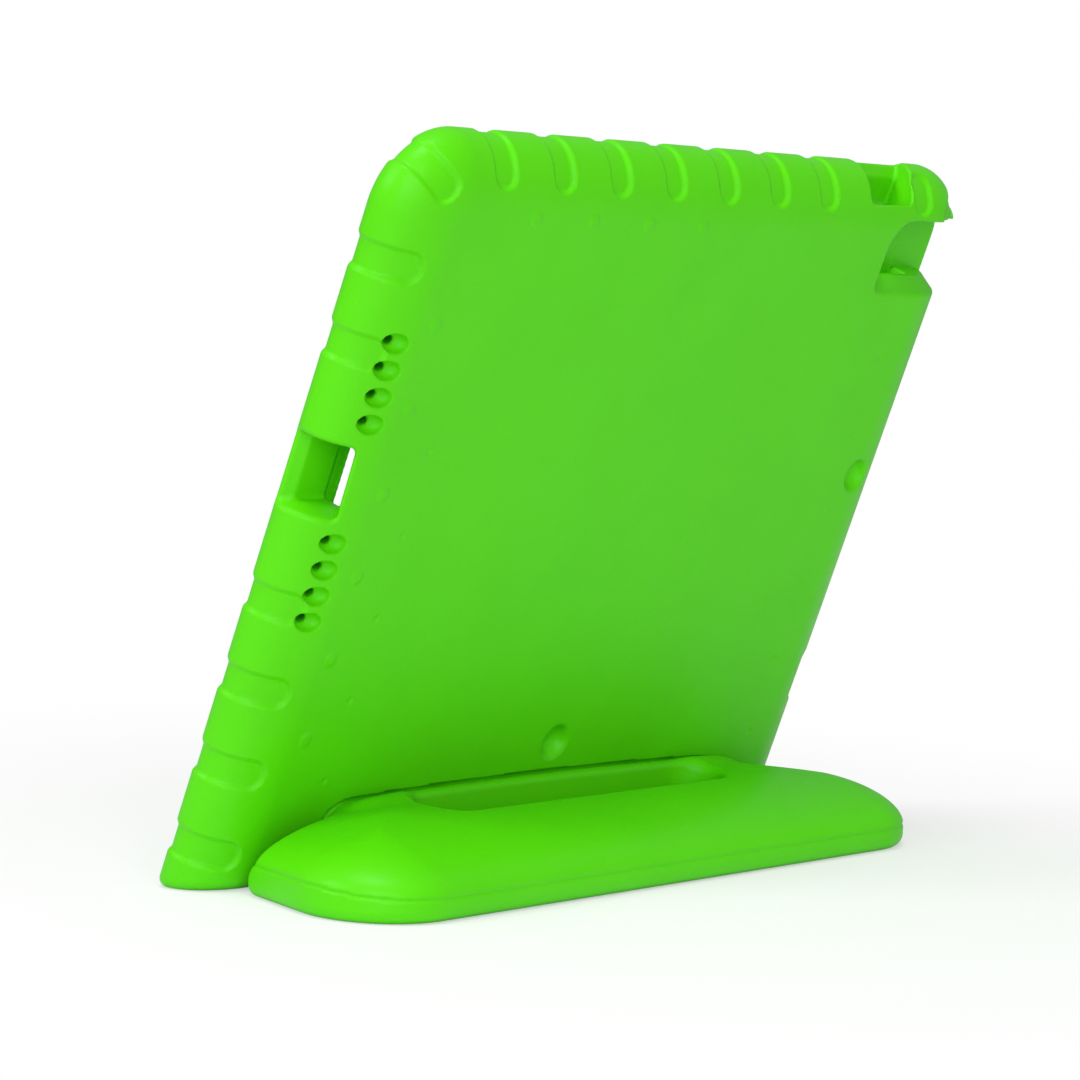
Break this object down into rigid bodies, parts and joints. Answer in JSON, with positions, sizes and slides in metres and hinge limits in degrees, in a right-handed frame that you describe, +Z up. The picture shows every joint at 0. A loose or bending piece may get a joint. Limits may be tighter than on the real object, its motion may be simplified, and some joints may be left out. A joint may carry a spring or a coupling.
{
  "type": "kids tablet case",
  "caption": "Moulded foam case for a tablet, with a ribbed rounded rim, openings for its ports and camera, and a domed carrying handle that it leans back on.",
  "frame": {"origin": "centre of the bounding box at the ground, which the flat underside of the handle and the foot of the tray rest on", "axes": "+X along the width, port side at -X; +Y towards the screen opening, the camera side looks to -Y; +Z up"},
  "size_m": [0.2786, 0.091, 0.2249],
  "materials": {
    "foam": "satin, finely grained moulded foam"
  },
  "bodies": {
    "root": {"case": "foam"}
  },
  "joints": []
}
